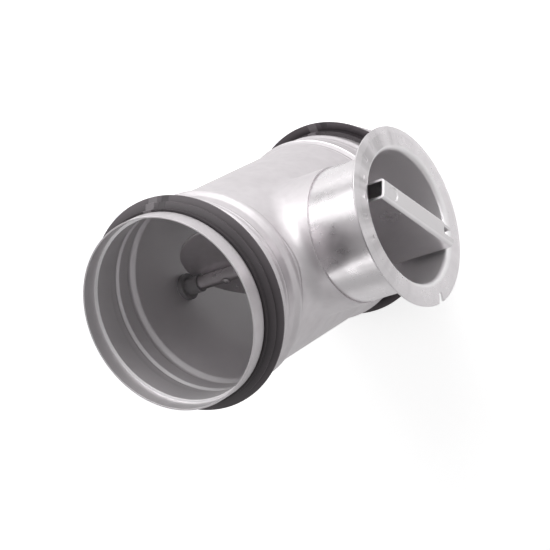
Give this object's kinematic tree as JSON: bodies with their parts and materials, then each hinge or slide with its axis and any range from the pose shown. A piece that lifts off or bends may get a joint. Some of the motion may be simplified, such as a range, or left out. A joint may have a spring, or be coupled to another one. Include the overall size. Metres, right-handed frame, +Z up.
{
  "type": "round volume control damper",
  "caption": "Round duct damper: spigots with double-lip rubber gaskets, a flat blade on a cross shaft, and a channel handle sunk in a flanged cup at the side.",
  "frame": {"origin": "on the duct axis at the lower spigot's end", "axes": "+Z up the duct axis; +X along the shaft, from the duct out through the cup"},
  "size_m": [0.1582, 0.1112, 0.197],
  "materials": {
    "casing_steel": "zinc-coated sheet, semi-bright",
    "cup_steel": "zinc-coated sheet, semi-bright",
    "handle_steel": "zinc-coated sheet, semi-bright",
    "blade_steel": "zinc-coated sheet",
    "shaft_steel": "zinc-plated bar",
    "fastener_steel": "zinc-plated",
    "bush_plastic": "dark moulded nylon",
    "gasket_rubber": "matt dark grey rubber",
    "seal_rubber": "black rubber"
  },
  "bodies": {
    "casing_set": {"casing": "casing_steel", "upper_gasket": "gasket_rubber", "lower_gasket": "gasket_rubber", "cup": "cup_steel", "drive_bush": "bush_plastic", "idle_bush": "bush_plastic", "shaft_seal": "seal_rubber", "friction_spring": "fastener_steel", "thrust_washer": "fastener_steel"},
    "blade_set": {"shaft": "shaft_steel", "blade": "blade_steel", "blade_rivets": "fastener_steel", "handle": "handle_steel", "handle_hub": "shaft_steel", "hub_pin": "fastener_steel", "hub_rivets": "fastener_steel", "shaft_clip": "fastener_steel"}
  },
  "joints": [
    {"name": "blade_turn", "type": "hinge", "parent": "casing_set", "child": "blade_set", "pos_m": [0, 0, 0.1095], "axis": [1, 0, 0], "range_deg": [-50, 40]}
  ]
}
